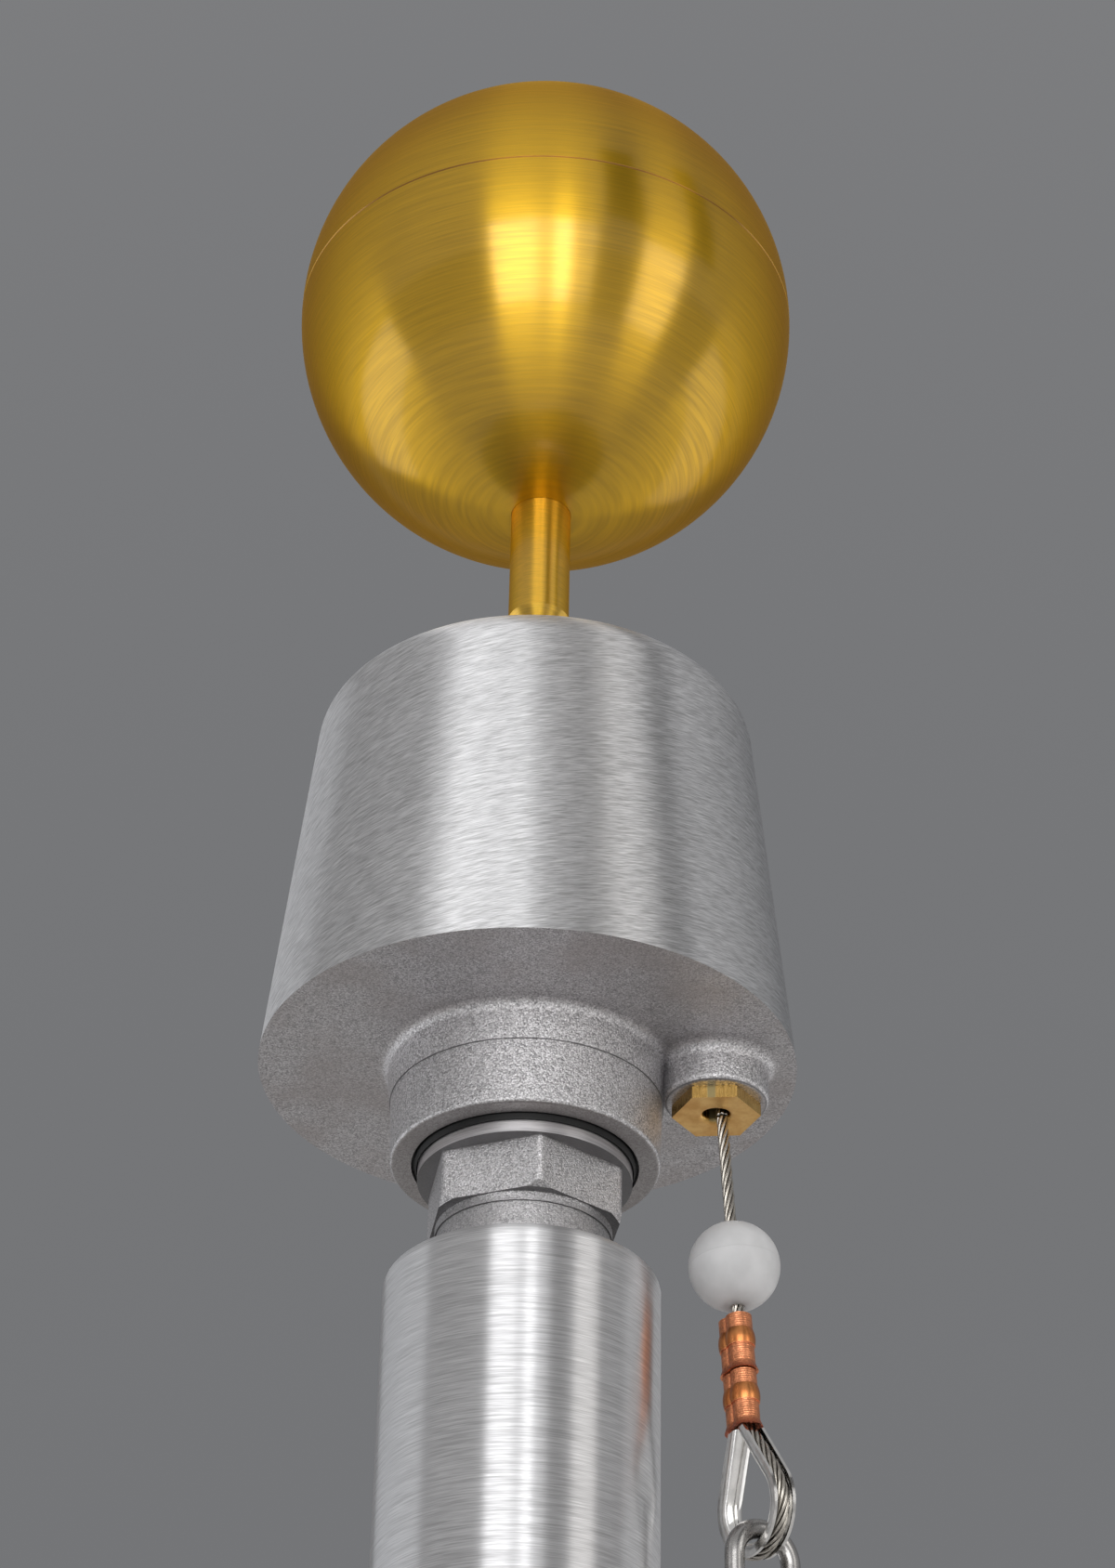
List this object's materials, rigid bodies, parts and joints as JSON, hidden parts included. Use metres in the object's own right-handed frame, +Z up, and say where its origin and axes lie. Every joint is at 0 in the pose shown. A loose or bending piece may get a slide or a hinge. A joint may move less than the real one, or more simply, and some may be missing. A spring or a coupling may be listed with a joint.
{
  "type": "flagpole head with revolving truck",
  "caption": "Top of a flagpole: gold ball finial on a revolving tapered truck, round pole top, and an internal wire halyard with stop ball, sleeves, thimble and link.",
  "frame": {"origin": "centre of the pole's lower end face", "axes": "+Z up along the pole; +X from the pole's axis to the halyard guide"},
  "size_m": [0.1524, 0.1524, 0.9311],
  "materials": {
    "brushed_aluminium": "satin, brushed round the tube",
    "brushed_truck": "coarse brushed round the taper",
    "cast_aluminium": "as cast, fine sand texture",
    "turned_aluminium": "turned",
    "gold_anodised": "gold anodised, satin, brushed round the axis",
    "steel": "satin",
    "wire_rope": "stranded stainless wire",
    "brass": "machined",
    "bronze": "machined",
    "white_nylon": "milky, satin",
    "copper": "pressed copper",
    "polished_steel": "polished",
    "black_rubber": "matt"
  },
  "bodies": {
    "pole": {"pole_tube": "brushed_aluminium", "pole_collar": "turned_aluminium", "spindle": "cast_aluminium", "lower_bearing": "steel", "bearing_spacer": "steel", "upper_bearing": "steel", "snap_ring": "steel", "halyard_in_pole": "wire_rope"},
    "truck": {"truck_base": "cast_aluminium", "truck_cap": "brushed_truck", "hub_seal": "black_rubber", "halyard_guide": "brass", "sheave": "white_nylon", "sheave_bush": "bronze", "sheave_axle": "steel", "axle_clips": "steel", "finial_stud": "steel", "jam_nut": "steel", "finial_stem": "gold_anodised", "finial_ball_lower": "gold_anodised", "finial_ball_upper": "gold_anodised", "halyard_over_sheave": "wire_rope", "halyard_fall": "wire_rope", "halyard_eye": "wire_rope", "stop_ball": "white_nylon", "upper_sleeve": "copper", "lower_sleeve": "copper", "thimble": "polished_steel", "flag_link": "polished_steel"}
  },
  "joints": [
    {"name": "truck_spin", "type": "hinge", "parent": "pole", "child": "truck", "pos_m": [0, 0, 0.5845], "axis": [0, 0, 1], "continuous": true}
  ]
}
